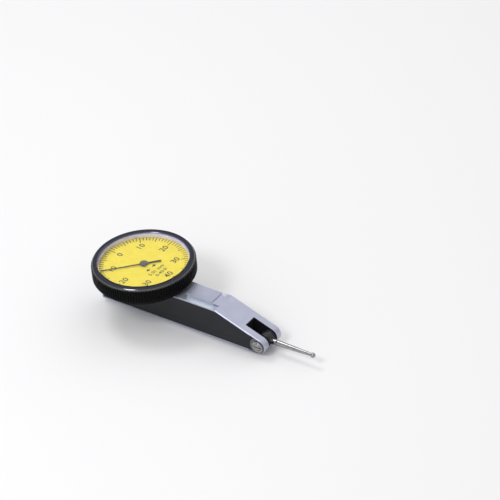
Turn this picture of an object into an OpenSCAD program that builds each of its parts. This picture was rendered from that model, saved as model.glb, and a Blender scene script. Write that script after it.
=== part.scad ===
// Dial test indicator: a horizontal lever gauge with a knurled bezel, three dovetail rails
// and a contact point that swivels in a fork. Millimetres.
//
// The dial's axis is Z. The body runs from under the dial along +X to the fork.
// The origin is under the dial's centre, on the face of the bottom rail that the gauge stands on.
// The train is: contact point, lever arm, sector gear, pinion and crown gear, centre pinion, pointer.

/* [Bezel] */
// Outer diameter over the knurl
bezel_d = 40; // [39:0.5:44]
// Height of the bezel
bezel_h = 6.65; // [6.2:0.05:8]
// Gap between the body's top and the bezel
bezel_gap = 1.05; // [0.6:0.05:2]
// Width of the ring round the crystal
lip_w = 2.45; // [2.3:0.05:4]
// Number of ribs in the knurl
knurl_count = 120; // [80:1:140]
// Depth of the knurl
knurl_depth = 0.45; // [0.2:0.05:0.6]
// Wall of the bezel under the knurl
skirt_t = 1; // [0.8:0.1:1.2]

/* [Dial and crystal] */
// Depth of the dial's face below the bezel's top
dial_depth = 3.1; // [2.2:0.05:3.2]
// Thickness of the dial plate
dial_t = 0.4; // [0.3:0.05:0.6]
// Thickness of the crystal
crystal_t = 1; // [0.8:0.05:1.1]
// Depth of the crystal below the bezel's top
crystal_recess = 0.15; // [0.05:0.05:0.3]
// Gap between the pointer's tip and the dial's edge
pointer_gap = 0.95; // [0.7:0.05:4]
// Length of the pointer's tail
tail_len = 6.6; // [4:0.1:9]
// Direction of the pointer at rest, from +X
pointer_angle = -134.5; // [-180:0.5:180]

/* [Body] */
// Width of the body
body_w = 11.06; // [10.8:0.02:12]
// Height of the body without its rails
body_h = 13.1; // [13:0.1:14.5]
// Length of the body behind the dial's centre
body_rear = 18; // [17.5:0.1:19]
// Distance from the dial's centre to the fork's pivot
pivot_x = 54.8; // [53:0.1:60]
// Radius of the fork's rounded tips
fork_r = 3.1; // [3.1:0.05:3.6]
// Fall of the body's sloping nose, in degrees
nose_slope = 20; // [18:0.5:21]
// Thickness of each arm of the fork
fork_arm_t = 2.83; // [2.6:0.01:2.85]
// Distance from the pivot back to the slot's floor
slot_depth = 6.7; // [6:0.1:8]
// Wall over and under the movement
wall = 1.25; // [1.1:0.05:1.3]
// Small bevel along the body's outer edges
edge_bevel = 0.2; // [0.1:0.05:0.4]

/* [Dovetail rails] */
// Width of a rail at its face
rail_w = 6.9; // [6:0.1:8]
// Height of a rail
rail_h = 1.6; // [1.2:0.1:1.8]
// Angle of a rail's flanks, in degrees
rail_angle = 60; // [55:1:70]
// Gap between the bezel and the top rail
top_rail_gap = 1.5; // [0.5:0.1:3]
// Length of the top rail's flat top
top_rail_len = 12; // [8:0.5:13]
// Distance from the body's rear end to the bottom rail
bottom_rail_inset = 2; // [0:0.5:6]
// Length of the bottom rail
bottom_rail_len = 48; // [30:1:50]

/* [Covers] */
// Thickness of a side cover
cover_t = 0.8; // [0.6:0.05:0.9]
// Rim of the body left bare round a cover
cover_rim = 0.5; // [0.4:0.05:0.8]
// Radius of the bare boss round the pivot
boss_r = 3.5; // [3.2:0.1:4]

/* [Contact point] */
// Length of the contact point from the pivot to the centre of its ball
contact_len = 20.9; // [15:0.1:40]
// Diameter of the ball
ball_d = 2; // [1:0.1:3]
// Diameter of the collar at the contact point's root
collar_d = 2.3; // [1.8:0.1:2.4]
// Diameter of the shank next to the ball
tip_d = 1.3; // [0.6:0.1:1.4]
// Rise of the contact point at rest, in degrees
contact_tilt = 0.5; // [-20:0.5:20]
// Radius of the holder that turns in the fork
holder_r = 2.7; // [2.4:0.05:2.8]

/* [Scale] */
// Travel of the contact ball for one turn of the pointer
travel_per_turn = 0.8; // [0.7:0.01:1]

/* [Movement] */
// Teeth of a full sector gear
sector_teeth = 108; // [108:1:110]
// Leaves of the pinion on the crown gear's arbor
pinion_teeth = 12; // [12:1:12]
// Tooth size of the sector gear and its pinion
sector_module = 0.25; // [0.24:0.005:0.26]
// Teeth of the crown gear
crown_teeth = 42; // [40:1:44]
// Leaves of the centre pinion
centre_teeth = 9; // [9:1:9]
// Half the width of the crown gear's ring of teeth
crown_face = 0.35; // [0.25:0.05:0.4]
// Gap between the crown gear and the body's roof and floor
gear_gap = 0.35; // [0.25:0.05:0.6]
// Radius of the arbors' pivots
pivot_r = 0.35; // [0.25:0.05:0.4]
// Running clearance round a pivot
pivot_play = 0.04; // [0.02:0.01:0.08]

/* [Hidden] */
$fn = 96;
seat = 0.02;      // gap between pieces that are fixed together
run = 0.06;       // running gap of the bezel on its case
thread = 0.03;    // gap round a screw's thread
cut = 1;          // how far a cutter passes through a face

// Heights
body_z = rail_h;
body_top = body_z + body_h;
roof_z = body_top - wall;
floor_z = body_z + wall;
pivot_z = body_z + fork_r;
half_w = body_w / 2;
slot_w = body_w - 2 * fork_arm_t;
slot_x = pivot_x - slot_depth;
bezel_z = body_top + bezel_gap;
bezel_top = bezel_z + bezel_h;
crystal_top = bezel_top - crystal_recess;
crystal_z = crystal_top - crystal_t;
dial_top = bezel_top - dial_depth;
dial_z = dial_top - dial_t;
shelf_t = 0.7;
shelf_z = dial_z - shelf_t;
case_floor_t = 1.2;
case_z = body_top + case_floor_t;
case_top = shelf_z - 0.4;

// Radii of the bezel and of the case that it turns on
bezel_r = bezel_d / 2;
band_r = bezel_r - knurl_depth;
skirt_r = band_r - skirt_t;
lip_r = bezel_r - lip_w;
pointer_len = lip_r - pointer_gap;
shelf_r = lip_r - 1;
case_r = skirt_r - run;
case_t = 1.1;
wire_r = 0.3;
ring_r = (skirt_r + case_r) / 2;
ring_z = (bezel_z + case_top) / 2;
groove_gap = 0.05;

// Side recesses and the movement's space between them
recess = cover_t + 0.1;
far_wall_t = 1;
far_in = half_w - recess - far_wall_t;
far_out = half_w - recess;
near_in = -half_w + recess;
block_len = 5.5;
pocket_rear = -body_rear + block_len;
pocket_front = slot_x - 1.6;
plate_t = 0.85;
plate_y = near_in + 0.05;
plate_in = plate_y + plate_t;
plate_gap = 0.3;
plate_rear = pocket_rear + plate_gap;
plate_len = 42.2;
pillar_r = 1.1;
rear_pillar_x = pocket_rear + pillar_r + 0.2;
front_pillar_x = plate_rear + plate_len - 2.6;
pillar_zs = [floor_z + pillar_r + 0.3, roof_z - pillar_r - 0.3];
cover_screw_x = -body_rear + 2.9;
cover_screw_inset = 3.2;
cover_screw_zs = [body_z + cover_screw_inset, body_top - cover_screw_inset];
cover_screw_r = 0.6;
cover_screw_len = 2;
cover_head_r = 1.1;
cover_head_h = 0.35;
plate_screw_r = 0.5;
plate_screw_len = 2;
plate_head_r = 0.9;
plate_head_h = 0.4;
case_screw_x = case_r - case_t - 3.15;
case_screw_y = 2.9;
case_screw_r = 0.8;
case_head_r = 1.4;
case_head_h = 0.7;
cock_screw_x = -6.9;
cock_screw_y = -0.5;

// Gear sizes and places
sector_r = sector_teeth * sector_module / 2;
pinion_r = pinion_teeth * sector_module / 2;
sector_x = sector_r + pinion_r;
crown_z = (roof_z + floor_z) / 2;
crown_r = (roof_z - floor_z) / 2 - gear_gap - crown_face;
crown_pitch = 2 * PI * crown_r / crown_teeth;
centre_r = crown_r * centre_teeth / crown_teeth;
centre_module = 2 * centre_r / centre_teeth;
addendum = 0.8;
dedendum = 1.2;
tooth_share = 0.4;
crown_tip_y = centre_r - addendum * centre_module;
crown_root_y = centre_r + dedendum * centre_module;
crown_web_t = 0.6;

// The lever's length follows from one turn of the pointer per travel_per_turn at the ball
turn_ratio = 2 * PI * contact_len / travel_per_turn;
gear_ratio = sector_teeth / pinion_teeth * crown_teeth / centre_teeth;
lever_ratio = turn_ratio / gear_ratio;
pin_reach = (pivot_x - sector_x) / (1 + lever_ratio);
pin_x = sector_x + pin_reach;
pin_jewel_r = 0.6;

// Layers of the movement across the body
lever_t = 0.8;
lever_y = -slot_w / 2 + 0.1;
lever_top_y = lever_y + lever_t;
sector_t = 0.7;
sector_y = lever_y - 0.25 - sector_t;
leaf_y0 = sector_y - 0.08;
leaf_y1 = sector_y + sector_t + 0.08;
arbor_y0 = plate_in + 0.2;
arbor_y1 = far_in - 0.2;
pivot_len = plate_t - 0.1;
sector_arbor_r = 0.6;
crown_arbor_r = 0.7;

// Pivot of the fork
axle_r = 0.9;
journal_r = 0.5;
journal_len = 1.4;
pivot_screw_r = 1.5;
locknut_r = 2.35;
locknut_t = 0.45;
holder_y0 = lever_top_y + 0.45;
holder_y1 = slot_w / 2 - 0.15;
holder_flat = holder_r + 0.7;
thread_r = 0.7;

// Centre line
jewel_r = 0.9;
lower_jewel_r = 0.65;
cock_z = crown_z + 1.2;
cock_t = 0.9;
leaf_z0 = crown_z + crown_r - 1;
leaf_z1 = crown_z + crown_r + 0.8;
centre_hole_r = 1.45;
bridge_z = case_z + 1.4;
bridge_t = 0.9;
bridge_reach = 8.5;
bridge_w = 3.6;
bridge_screw_r = 0.6;
bridge_head_r = 1.2;
bridge_head_h = 0.5;
spring_z = case_z + 0.4;
spring_h = 0.5;
spring_r0 = 1.25;
spring_r1 = 4.3;
spring_t = 0.14;
spring_turns = 5;
collet_r = 1.1;
arbor_r = 0.5;
hand_z = dial_top + 0.35;
hand_t = 0.2;
tip_half = 0.15;
waist_half = 0.28;
tail_half = 0.5;
cap_r = 1.55;
cap_h = 0.3;

// Width of the cut that breaks the top rail's two sharp edges
rail_break = 0.12;

// ---------------------------------------------------------------- helpers

// Extrudes a side outline, drawn in X and Z, from y0 to y1
module across(y0, y1) {
    translate([0, y1, 0]) rotate([90, 0, 0]) linear_extrude(y1 - y0) children();
}

// A round bar along Y
module rod(x, z, r, y0, y1) {
    translate([x, y1, z]) rotate([90, 0, 0]) cylinder(r = r, h = y1 - y0);
}

// A round bar along Z
module post(x, y, r, z0, z1) {
    translate([x, y, z0]) cylinder(r = r, h = z1 - z0);
}

// A flat ring along Z
module ring(r0, r1, z0, z1) {
    translate([0, 0, z0]) difference() {
        cylinder(r = r1, h = z1 - z0);
        translate([0, 0, -cut]) cylinder(r = r0, h = z1 - z0 + 2 * cut);
    }
}

// A flat ring along Y
module rod_ring(x, z, r0, r1, y0, y1) {
    difference() {
        rod(x, z, r1, y0, y1);
        rod(x, z, r0, y0 - cut, y1 + cut);
    }
}

// A slotted cheese-head screw: its head on z = 0 and its shank below
module screw(head_r, head_h, shank_r, shank_len) {
    difference() {
        union() {
            cylinder(r = head_r, h = head_h);
            translate([0, 0, -shank_len]) cylinder(r = shank_r, h = shank_len + head_h / 2);
        }
        translate([-head_r - cut, -head_r * 0.14, head_h * 0.5]) cube([2 * (head_r + cut), head_r * 0.28, cut]);
    }
}

// A point at radius r and angle a
function polar(r, a) = [r * cos(a), r * sin(a)];

// Outline of teeth first to last on radius r: each has a root, a tip and straight flanks
function teeth(n, r, m, first, last, turn) =
    let (step = 360 / n, half = step * tooth_share / 2, root = r - dedendum * m, tip = r + addendum * m)
    [for (i = [first:last]) for (p = [[root, -1.4], [tip, -0.55], [tip, 0.55], [root, 1.4]])
        polar(p[0], turn + i * step + p[1] * half)];

// Height of the nose's sloping face at x, and where it meets the top, both moved in by inset
function nose_z(x, inset) =
    pivot_z + (fork_r - inset) / cos(nose_slope) + (pivot_x - x) * tan(nose_slope);
function bend_x(inset) =
    pivot_x - (body_top - inset - pivot_z - (fork_r - inset) / cos(nose_slope)) / tan(nose_slope);

// Side outline of the body, moved in by inset
module side_outline(inset) {
    tip = fork_r - inset;
    polygon([
        [-body_rear + inset, body_z + inset],
        [pivot_x, body_z + inset],
        [pivot_x + tip * sin(nose_slope), pivot_z + tip * cos(nose_slope)],
        [bend_x(inset), body_top - inset],
        [-body_rear + inset, body_top - inset]
    ]);
    translate([pivot_x, pivot_z]) circle(r = tip);
}

// Cross-section of a dovetail rail: its base on y = 0 and its wide face at rail_h
module rail_section() {
    half = rail_w / 2;
    base = half - rail_h / tan(rail_angle);
    polygon([[-base, -0.4], [-base, 0], [-half, rail_h], [half, rail_h], [base, 0], [base, -0.4]]);
}

// A rail of length len along +X, standing up from z = 0
module rail(len) {
    rotate([90, 0, 90]) linear_extrude(len) rail_section();
}

// The top rail: flat on top, then cut down to the nose's sloping face, which runs up between the ledges
module top_rail() {
    start = bezel_r + top_rail_gap;
    flat_end = start + top_rail_len;
    full_len = bend_x(0) - start + 0.5;
    difference() {
        translate([start, 0, body_top]) rail(full_len);
        for (side = [-1, 1]) translate([start - cut, side * rail_w / 2, body_top + rail_h])
            rotate([-60 * side, 0, 0]) translate([0, -0.5, -rail_break * 0.87]) cube([full_len + 2 * cut, 1, 1]);
        across(-rail_w, rail_w) polygon([
            [flat_end, nose_z(flat_end, 0)],
            [flat_end + body_h, nose_z(flat_end + body_h, 0)],
            [flat_end + body_h, body_top + body_h],
            [flat_end, body_top + body_h]
        ]);
    }
}

// ---------------------------------------------------------------- frame body

// A bevel cutter along a side edge, from (x0, z0) for len at an angle
module edge_cutter(x0, z0, len, angle) {
    side = edge_bevel * sqrt(2);
    for (y = [-half_w, half_w])
        translate([x0, y, z0]) rotate([0, -angle, 0]) rotate([45, 0, 0])
            translate([0, -side / 2, -side / 2]) cube([len, side, side]);
}

// A bevel cutter round the fork's tips
module tip_cutter() {
    for (y = [-half_w, half_w])
        translate([pivot_x, y, pivot_z]) rotate([90, 0, 0]) rotate([0, 0, -90])
            rotate_extrude(angle = 180 - nose_slope)
                polygon([[fork_r - edge_bevel, 0], [fork_r, edge_bevel], [fork_r + edge_bevel, 0], [fork_r, -edge_bevel]]);
}

// Recess for a side cover, reaching in from outside the near side
module cover_recess(grow) {
    across(-half_w - cut, near_in) difference() {
        side_outline(cover_rim - grow);
        translate([pivot_x, pivot_z]) circle(r = boss_r - grow);
    }
    tongue(grow);
}

// Tongue at a cover's front end that hooks under the pivot's boss
module tongue(grow) {
    translate([pivot_x - boss_r - cut, near_in - cover_t / 2 - grow, pivot_z - 1 - grow])
        cube([cut + 0.7 + grow, cover_t / 2 + grow, 2 + 2 * grow]);
}

module frame() {
    nose_len = (pivot_x - bend_x(0)) / cos(nose_slope) + fork_r * tan(nose_slope);
    color("silver") difference() {
        union() {
            across(-half_w, half_w) side_outline(0);
            top_rail();
            translate([-body_rear + bottom_rail_inset, 0, body_z]) mirror([0, 0, 1]) rail(bottom_rail_len);
            translate([-body_rear, 0, body_z]) rotate([0, 0, 90]) linear_extrude(body_h) rail_section();
        }
        // Slot between the fork's arms, and the lever's window in its floor
        translate([slot_x, -slot_w / 2, 0]) cube([slot_depth + fork_r + cut, slot_w, body_top]);
        translate([pocket_front - cut, lever_y - 0.1, pivot_z - 0.9]) cube([slot_depth, lever_t + 0.25, 3.2]);
        // Space for the movement, open on the near side
        across(-half_w - cut, far_in) polygon([
            [pocket_rear, floor_z],
            [pocket_front, floor_z],
            [pocket_front, nose_z(pocket_front, wall)],
            [bend_x(wall), roof_z],
            [pocket_rear, roof_z]
        ]);
        cover_recess(seat);
        mirror([0, 1, 0]) cover_recess(seat);
        // Centre hole and the jewel seats in the far wall
        post(0, 0, centre_hole_r, roof_z - cut, body_top + cut);
        for (x = [0, sector_x]) rod(x, crown_z, jewel_r + seat, far_in - cut, far_out + cut);
        // Screw holes
        for (x = [-case_screw_x, case_screw_x], y = [-case_screw_y, case_screw_y])
            post(x, y, case_screw_r + thread, roof_z - cut, body_top + cut);
        for (s = [1, -1], z = cover_screw_zs)
            scale([1, s, 1]) rod(cover_screw_x, z, cover_screw_r + thread, near_in - cut, near_in + cover_screw_len);
        post(cock_screw_x, cock_screw_y, 0.5 + thread, roof_z - cut, body_top - 0.1);
        for (x = [rear_pillar_x, front_pillar_x], z = pillar_zs)
            rod(x, z, 0.6 + thread, far_in - cut, far_out - 0.2);
        rod(pivot_x, pivot_z, pivot_screw_r + thread, -half_w - cut, half_w + cut);
        // Bevels along the ledge, down the nose to just short of the tips, and round the tips
        edge_cutter(-body_rear - cut, body_top, bend_x(0) + body_rear + cut, 0);
        edge_cutter(bend_x(0), body_top, nose_len - seat, -nose_slope);
        tip_cutter();
    }
}

module side_cover() {
    difference() {
        union() {
            across(-half_w + 0.1, near_in) difference() {
                side_outline(cover_rim);
                translate([pivot_x, pivot_z]) circle(r = boss_r);
            }
            tongue(0);
        }
        for (z = cover_screw_zs) {
            rod(cover_screw_x, z, cover_head_r + 0.05, -half_w - cut, near_in - cover_head_h);
            rod(cover_screw_x, z, cover_screw_r + thread, -half_w - cut, near_in + cut);
        }
    }
}

module near_side_cover() {
    color([0.16, 0.16, 0.18]) side_cover();
}

module far_side_cover() {
    color([0.16, 0.16, 0.18]) mirror([0, 1, 0]) side_cover();
}

module cover_screws() {
    color("silver") for (s = [1, -1], z = cover_screw_zs)
        scale([1, s, 1]) translate([cover_screw_x, near_in - cover_head_h, z]) rotate([90, 0, 0])
            screw(cover_head_r, cover_t - cover_head_h - 0.05, cover_screw_r, cover_screw_len);
}

module movement_plate() {
    front = plate_rear + plate_len;
    low = floor_z + plate_gap;
    high = roof_z - plate_gap;
    corner = 1.2;
    color("goldenrod") difference() {
        across(plate_y, plate_in) polygon([
            [plate_rear + corner, low], [front - corner, low], [front, low + corner],
            [front, high - corner], [front - corner, high], [plate_rear + corner, high],
            [plate_rear, high - corner], [plate_rear, low + corner]
        ]);
        for (x = [0, sector_x]) rod(x, crown_z, jewel_r + seat, plate_y - cut, plate_in + cut);
        for (x = [rear_pillar_x, front_pillar_x], z = pillar_zs) {
            rod(x, z, plate_screw_r + thread, plate_y - cut, plate_in + cut);
            rod(x, z, plate_head_r + 0.05, plate_y - cut, plate_y + plate_head_h);
        }
    }
}

module plate_pillars() {
    color("goldenrod") for (x = [rear_pillar_x, front_pillar_x], z = pillar_zs)
        difference() {
            union() {
                rod(x, z, pillar_r, plate_in, far_in);
                rod(x, z, 0.6, far_in - 0.1, far_out - 0.3);
            }
            rod(x, z, plate_screw_r + thread, plate_in - cut, plate_in + plate_screw_len);
        }
}

module plate_screws() {
    color("steelblue") for (x = [rear_pillar_x, front_pillar_x], z = pillar_zs)
        translate([x, plate_y + plate_head_h, z]) rotate([90, 0, 0])
            screw(plate_head_r, plate_head_h - seat, plate_screw_r, plate_screw_len);
}

module plate_jewels() {
    color("crimson") for (x = [0, sector_x])
        rod_ring(x, crown_z, pivot_r + pivot_play, jewel_r, plate_y, plate_in);
}

module wall_jewels() {
    color("crimson") for (x = [0, sector_x])
        rod_ring(x, crown_z, pivot_r + pivot_play, jewel_r, far_in, far_out);
}

// The lower bearing of the centre arbor hangs from the body's roof beside the crown gear
module centre_cock() {
    cock_rear = -8.6;
    leg_x = -crown_r + 0.2;
    cock_y = -1.6;
    cock_w = 2.2;
    color("goldenrod") difference() {
        union() {
            post(0, 0, 1.1, cock_z, cock_z + cock_t);
            translate([leg_x, cock_y, cock_z]) cube([-leg_x, cock_w, cock_t]);
            translate([leg_x, cock_y, cock_z]) cube([1.2, cock_w, roof_z - cock_z]);
            translate([cock_rear, cock_y, roof_z - 1]) cube([leg_x - cock_rear + 1.2, cock_w, 1]);
        }
        post(0, 0, lower_jewel_r + seat, cock_z - cut, cock_z + cock_t + cut);
        post(cock_screw_x, cock_screw_y, 0.5 + thread, roof_z - 1 - cut, roof_z + cut);
    }
}

module centre_cock_screw() {
    color("steelblue") translate([cock_screw_x, cock_screw_y, roof_z - 1]) mirror([0, 0, 1])
        screw(0.95, 0.6, 0.5, 2);
}

module centre_lower_jewel() {
    color("crimson") ring(pivot_r + pivot_play, lower_jewel_r, cock_z, cock_z + cock_t);
}

module dial_case() {
    color("silver") difference() {
        rotate_extrude() polygon([
            [centre_hole_r, body_top], [case_r, body_top], [case_r, case_top - 0.2], [case_r - 0.2, case_top],
            [case_r - case_t, case_top], [case_r - case_t, case_z], [centre_hole_r, case_z]
        ]);
        ring(ring_r - wire_r - groove_gap, case_r + cut, ring_z - wire_r - groove_gap, ring_z + wire_r + groove_gap);
        for (x = [-case_screw_x, case_screw_x], y = [-case_screw_y, case_screw_y])
            post(x, y, case_screw_r + thread, body_top - cut, case_z + cut);
        for (y = [-bridge_reach, bridge_reach]) post(0, y, bridge_screw_r + thread, body_top + 0.2, case_z + cut);
    }
}

module dial_case_screws() {
    color("steelblue") for (x = [-case_screw_x, case_screw_x], y = [-case_screw_y, case_screw_y])
        translate([x, y, case_z]) screw(case_head_r, case_head_h, case_screw_r, case_floor_t + wall - 0.1);
}

module centre_bridge() {
    color("goldenrod") difference() {
        union() {
            translate([-bridge_w / 2, -bridge_reach, bridge_z]) cube([bridge_w, 2 * bridge_reach, bridge_t]);
            for (y = [-bridge_reach, bridge_reach]) post(0, y, bridge_w / 2, case_z, bridge_z + bridge_t);
        }
        post(0, 0, jewel_r + seat, bridge_z - cut, bridge_z + bridge_t + cut);
        for (y = [-bridge_reach, bridge_reach])
            post(0, y, bridge_screw_r + thread, case_z - cut, bridge_z + bridge_t + cut);
    }
}

module centre_bridge_screws() {
    color("steelblue") for (y = [-bridge_reach, bridge_reach])
        translate([0, y, bridge_z + bridge_t])
            screw(bridge_head_r, bridge_head_h, bridge_screw_r, bridge_z + bridge_t - body_top - 0.4);
}

module centre_upper_jewel() {
    color("crimson") ring(arbor_r - 0.1 + pivot_play, jewel_r, bridge_z, bridge_z + bridge_t);
}

// A flat spiral from beside the collet out to the stud
module hairspring() {
    steps = 24 * spring_turns;
    radius = function (i) spring_r0 + (spring_r1 - spring_r0) * i / steps;
    outer = [for (i = [0:steps]) polar(radius(i) + spring_t / 2, 90 + i * 15)];
    inner = [for (i = [steps:-1:0]) polar(radius(i) - spring_t / 2, 90 + i * 15)];
    color("lightsteelblue") translate([0, 0, spring_z]) linear_extrude(spring_h)
        polygon(concat(outer, inner));
}

module hairspring_stud() {
    color("steelblue") post(0, spring_r1 + spring_t / 2 + 0.62, 0.6, spring_z - 0.1, bridge_z);
}

module bezel_snap_ring() {
    color("silver") translate([0, 0, ring_z]) rotate([0, 0, 10]) rotate_extrude(angle = 340)
        translate([ring_r, 0]) circle(r = wire_r, $fn = 32);
}

module pivot_screws() {
    color("silver") for (s = [1, -1]) scale([1, s, 1]) difference() {
        union() {
            rod(pivot_x, pivot_z, pivot_screw_r, -half_w - 0.35, -slot_w / 2);
            translate([pivot_x, -half_w - 0.35, pivot_z]) rotate([90, 0, 0])
                cylinder(r1 = pivot_screw_r, r2 = pivot_screw_r - 0.3, h = 0.25);
        }
        rod(pivot_x, pivot_z, journal_r + pivot_play, -slot_w / 2 - journal_len, -slot_w / 2 + cut);
        translate([pivot_x - pivot_screw_r - cut, -half_w - cut, pivot_z - 0.2])
            cube([2 * (pivot_screw_r + cut), cut - 0.15, 0.4]);
    }
}

module pivot_locknuts() {
    color("silver") for (s = [1, -1]) scale([1, s, 1]) difference() {
        rod_ring(pivot_x, pivot_z, pivot_screw_r + thread, locknut_r, -half_w - locknut_t, -half_w);
        for (a = [0, 90]) translate([pivot_x, -half_w - locknut_t, pivot_z]) rotate([0, a, 0])
            translate([-locknut_r - cut, -cut, -0.2]) cube([2 * (locknut_r + cut), cut + 0.2, 0.4]);
    }
}

// ---------------------------------------------------------------- bezel body

// Outline of the ribs: a flat top, sloping flanks and a flat valley each
function knurl_points() =
    let (step = 360 / knurl_count)
    [for (i = [0:knurl_count - 1]) for (p = [[band_r, -0.36], [bezel_r, -0.2], [bezel_r, 0.2], [band_r, 0.36]])
        polar(p[0], (i + p[1]) * step)];

module bezel() {
    band_h = 0.45;
    rib_top = bezel_top - 0.65;
    color([0.1, 0.1, 0.11]) difference() {
        union() {
            rotate_extrude($fn = 180) polygon([
                [skirt_r + 0.2, bezel_z], [band_r - 0.15, bezel_z], [band_r, bezel_z + 0.15],
                [band_r, bezel_top - 0.25], [band_r - 0.25, bezel_top],
                [lip_r + crystal_recess, bezel_top], [lip_r, crystal_top],
                [lip_r, dial_z], [shelf_r, dial_z], [shelf_r, shelf_z],
                [skirt_r, shelf_z], [skirt_r, bezel_z + 0.2]
            ]);
            translate([0, 0, bezel_z + band_h]) difference() {
                linear_extrude(rib_top - bezel_z - band_h) polygon(knurl_points());
                translate([0, 0, -cut]) cylinder(r = band_r - 0.3, h = bezel_h);
            }
        }
        ring(skirt_r - cut, ring_r + wire_r + groove_gap, ring_z - wire_r - groove_gap, ring_z + wire_r + groove_gap);
    }
}

module dial_face() {
    color([0.96, 0.88, 0.3]) ring(1.3, lip_r - seat, dial_z, dial_top);
}

module dial_retaining_ring() {
    color("silver") rotate_extrude($fn = 180) polygon([
        [lip_r - 0.25, dial_top], [lip_r - seat, dial_top], [lip_r - seat, crystal_z], [lip_r - 0.5, crystal_z]
    ]);
}

module crystal() {
    color([0.8, 0.9, 0.95, 0.3]) rotate_extrude($fn = 180) polygon([
        [0, crystal_z], [lip_r - seat, crystal_z], [lip_r - seat, crystal_top - 0.2],
        [lip_r - 0.3, crystal_top], [0, crystal_top]
    ]);
}

// ---------------------------------------------------------------- lever body

module pivot_axle() {
    color("silver") union() {
        rod(pivot_x, pivot_z, axle_r, lever_y, slot_w / 2 - 0.1);
        rod(pivot_x, pivot_z, journal_r, -slot_w / 2 - journal_len + 0.15, slot_w / 2 + journal_len - 0.15);
    }
}

module lever_arm() {
    reach = [pin_x - pivot_x, crown_z - pivot_z];
    side = [-reach[1], reach[0]] / norm(reach);
    root_half = 1.1;
    end_half = 0.75;
    eye_r = 0.95;
    color([0.2, 0.2, 0.22]) difference() {
        union() {
            across(lever_y, lever_top_y) translate([pivot_x, pivot_z])
                polygon([side * root_half, reach + side * end_half, reach - side * end_half, -side * root_half]);
            rod(pivot_x, pivot_z, holder_r - 0.1, lever_y, lever_top_y);
            rod(pin_x, crown_z, eye_r, lever_y, lever_top_y);
        }
        rod(pivot_x, pivot_z, axle_r + seat, lever_y - cut, lever_top_y + cut);
        rod(pin_x, crown_z, pivot_r + seat, lever_y - cut, lever_top_y + cut);
    }
}

module lever_pin() {
    color("silver") rod(pin_x, crown_z, pivot_r, sector_y - 0.05, lever_top_y);
}

module lever_pin_jewel() {
    color("crimson") rod_ring(pin_x, crown_z, pivot_r + seat, pin_jewel_r, sector_y, sector_y + sector_t);
}

module friction_washer() {
    color("goldenrod") rod_ring(pivot_x, pivot_z, axle_r + seat, 2.2, lever_top_y + seat, holder_y0 - seat);
}

// ---------------------------------------------------------------- contact point

// Places children at the pivot with Z along the contact point
module along_contact() {
    translate([pivot_x, 0, pivot_z]) rotate([0, 90 - contact_tilt, 0]) children();
}

module contact_holder() {
    groove = 0.2;
    color([0.08, 0.08, 0.09]) difference() {
        union() {
            translate([pivot_x, holder_y1, pivot_z]) rotate([90, 0, 0]) rotate_extrude() polygon([
                [axle_r + seat, 0], [holder_r - 0.25, 0], [holder_r, 0.25],
                [holder_r, 0.7], [holder_r - groove, 0.7], [holder_r - groove, 0.95], [holder_r, 0.95],
                [holder_r, holder_y1 - holder_y0 - 0.2], [holder_r - 0.2, holder_y1 - holder_y0],
                [axle_r + seat, holder_y1 - holder_y0]
            ]);
            along_contact() translate([0, 0, 1.6]) cylinder(r = collar_d / 2 + 0.1, h = holder_flat - 1.6);
        }
        along_contact() translate([0, 0, 1]) cylinder(r = thread_r + thread, h = holder_flat);
    }
}

module contact_stem() {
    collar_len = 2.1;
    collar_end = holder_flat + collar_len;
    taper_end = contact_len - ball_d / 4;
    color("silver") difference() {
        along_contact() rotate_extrude() polygon([
            [0, 1.1], [thread_r, 1.1], [thread_r, holder_flat], [collar_d / 2, holder_flat],
            [collar_d / 2, collar_end], [tip_d / 2, taper_end], [0, taper_end]
        ]);
        along_contact() translate([0, 0, contact_len]) sphere(r = ball_d / 2 + seat / 2, $fn = 48);
        along_contact() translate([0, collar_d, holder_flat + collar_len / 2]) rotate([90, 0, 0])
            cylinder(r = 0.35, h = 2 * collar_d);
    }
}

module contact_ball() {
    color("gainsboro") along_contact() translate([0, 0, contact_len]) sphere(r = ball_d / 2, $fn = 48);
}

// ---------------------------------------------------------------- train

// A cut arbor along Y with a pivot at each end
module arbor(x, r) {
    rod(x, crown_z, r, arbor_y0, arbor_y1);
    rod(x, crown_z, pivot_r, arbor_y0 - pivot_len, arbor_y1 + pivot_len);
}

module sector_arbor() {
    color("silver") union() {
        arbor(sector_x, sector_arbor_r);
        rod(sector_x, crown_z, sector_arbor_r + 0.5, sector_y + sector_t, sector_y + sector_t + 0.5);
    }
}

module sector_gear() {
    shown = 9;
    side = (shown - 1) / 2;
    spread = (side + 0.6) * 360 / sector_teeth;
    root_r = sector_r - dedendum * sector_module;
    tail_half = 1.2;
    tail_end = pin_reach + 1.1;
    color("goldenrod") difference() {
        translate([sector_x, 0, crown_z]) union() {
            across(sector_y, sector_y + sector_t) polygon(concat(
                [[0, 1.6], polar(root_r, 180 - spread)],
                teeth(sector_teeth, sector_r, sector_module, -side, side, 180),
                [polar(root_r, 180 + spread), [0, -1.6]]
            ));
            rod(0, 0, 1.8, sector_y, sector_y + sector_t);
            translate([0, sector_y, -tail_half]) cube([tail_end, sector_t, 2 * tail_half]);
        }
        rod(sector_x, crown_z, sector_arbor_r + seat, sector_y - cut, sector_y + sector_t + cut);
        rod(sector_x - sector_r * 0.55, crown_z, 1.5, sector_y - cut, sector_y + sector_t + cut);
        translate([pin_x - pin_jewel_r - 0.4, sector_y - cut, crown_z - pin_jewel_r - 0.03])
            cube([tail_end, sector_t + 2 * cut, 2 * (pin_jewel_r + 0.03)]);
    }
}

module crown_arbor() {
    color("silver") union() {
        arbor(0, crown_arbor_r);
        translate([0, 0, crown_z]) across(leaf_y0, leaf_y1)
            polygon(teeth(pinion_teeth, pinion_r, sector_module, 0, pinion_teeth - 1, 180 / pinion_teeth));
    }
}

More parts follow.
